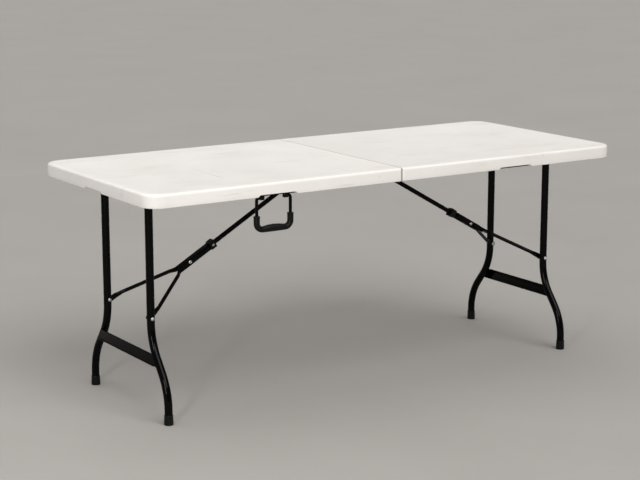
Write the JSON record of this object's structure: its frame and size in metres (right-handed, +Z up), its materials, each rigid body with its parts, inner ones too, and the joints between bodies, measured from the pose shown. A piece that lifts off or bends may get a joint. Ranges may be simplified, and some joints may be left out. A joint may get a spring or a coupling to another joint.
{
  "type": "folding table",
  "caption": "Portable fold-in-half table: moulded plastic top in two hinged halves, folding bent-tube leg frames, locking Y braces and a carrying handle.",
  "frame": {"origin": "on the floor under the middle of the top", "axes": "+X along the table's length towards the half without the handle, +Y from front (handle side) to back, +Z up"},
  "size_m": [1.8, 0.75, 0.74],
  "materials": {
    "top_plastic": "fine pebbled off-white polyethylene",
    "black_enamel": "gloss powder coat on steel",
    "black_plastic": "satin moulded plastic",
    "zinc": "bright zinc plating"
  },
  "bodies": {
    "left_half": {"left_top": "top_plastic", "left_rail_screws": "zinc", "left_brace_bracket": "black_enamel", "left_brace_pin": "zinc", "left_bracket_screws": "zinc", "left_hinge_rivets": "zinc", "left_front_rail": "black_enamel", "left_front_leg_bush": "black_plastic", "front_hinge_left_leaf": "black_enamel", "left_back_rail": "black_enamel", "left_back_leg_bush": "black_plastic", "back_hinge_left_leaf": "black_enamel", "front_hinge_pin": "zinc", "back_hinge_pin": "zinc", "handle_brackets": "black_plastic"},
    "left_leg_frame": {"left_pivot_tube": "black_enamel", "left_cross_plate": "black_enamel", "left_leg_bolts": "zinc", "left_front_leg": "black_enamel", "left_front_foot": "black_plastic", "left_back_leg": "black_enamel", "left_back_foot": "black_plastic"},
    "left_upper_brace": {"left_strut": "black_enamel"},
    "left_fork": {"left_fork_channel": "black_enamel", "left_knee_rivet": "zinc", "left_arm_rivets": "zinc", "left_fork_front_arm": "black_enamel", "left_fork_back_arm": "black_enamel"},
    "left_lock": {"left_lock_collar": "black_plastic", "left_lock_clip": "zinc"},
    "right_half": {"right_top": "top_plastic", "right_rail_screws": "zinc", "right_brace_bracket": "black_enamel", "right_brace_pin": "zinc", "right_bracket_screws": "zinc", "right_hinge_rivets": "zinc", "right_front_rail": "black_enamel", "right_front_leg_bush": "black_plastic", "front_hinge_right_leaf": "black_enamel", "right_back_rail": "black_enamel", "right_back_leg_bush": "black_plastic", "back_hinge_right_leaf": "black_enamel"},
    "right_leg_frame": {"right_pivot_tube": "black_enamel", "right_cross_plate": "black_enamel", "right_leg_bolts": "zinc", "right_front_leg": "black_enamel", "right_front_foot": "black_plastic", "right_back_leg": "black_enamel", "right_back_foot": "black_plastic"},
    "right_upper_brace": {"right_strut": "black_enamel"},
    "right_fork": {"right_fork_channel": "black_enamel", "right_knee_rivet": "zinc", "right_arm_rivets": "zinc", "right_fork_front_arm": "black_enamel", "right_fork_back_arm": "black_enamel"},
    "right_lock": {"right_lock_collar": "black_plastic", "right_lock_clip": "zinc"},
    "handle": {"handle_bail": "black_enamel", "handle_grip": "black_plastic"}
  },
  "joints": [
    {"name": "half_fold", "type": "hinge", "parent": "left_half", "child": "right_half", "pos_m": [0, 0, 0.697], "axis": [0, 1, 0], "range_deg": [0, 90]},
    {"name": "handle_swing", "type": "hinge", "parent": "left_half", "child": "handle", "pos_m": [-0.4625, -0.346, 0.692], "axis": [-1, 0, 0], "range_deg": [-90, 90]},
    {"name": "left_leg_fold", "type": "hinge", "parent": "left_half", "child": "left_leg_frame", "pos_m": [-0.787, 0, 0.71], "axis": [0, -1, 0], "range_deg": [0, 90]},
    {"name": "left_strut_fold", "type": "hinge", "parent": "left_half", "child": "left_upper_brace", "pos_m": [-0.09, 0, 0.71], "axis": [0, -1, 0], "range_deg": [-29.67, 0]},
    {"name": "left_knee_fold", "type": "hinge", "parent": "left_upper_brace", "child": "left_fork", "pos_m": [-0.56884, 0, 0.43726], "axis": [0, -1, 0], "range_deg": [0, 180]},
    {"name": "left_lock_slide", "type": "slide", "parent": "left_upper_brace", "child": "left_lock", "axis": [0.8689, 0, 0.4949], "range_m": [-0.01, 0.05]},
    {"name": "right_leg_fold", "type": "hinge", "parent": "right_half", "child": "right_leg_frame", "pos_m": [0.787, 0, 0.71], "axis": [0, 1, 0], "range_deg": [0, 90]},
    {"name": "right_strut_fold", "type": "hinge", "parent": "right_half", "child": "right_upper_brace", "pos_m": [0.09, 0, 0.71], "axis": [0, 1, 0], "range_deg": [-29.67, 0]},
    {"name": "right_knee_fold", "type": "hinge", "parent": "right_upper_brace", "child": "right_fork", "pos_m": [0.56884, 0, 0.43726], "axis": [0, 1, 0], "range_deg": [0, 180]},
    {"name": "right_lock_slide", "type": "slide", "parent": "right_upper_brace", "child": "right_lock", "axis": [-0.8689, 0, 0.4949], "range_m": [-0.01, 0.05]}
  ],
  "couplings": [
    {"joint": "left_strut_fold", "follows": "left_leg_fold", "ratio": -0.32961},
    {"joint": "left_knee_fold", "follows": "left_leg_fold", "ratio": 2},
    {"joint": "right_strut_fold", "follows": "right_leg_fold", "ratio": -0.32961},
    {"joint": "right_knee_fold", "follows": "right_leg_fold", "ratio": 2}
  ]
}
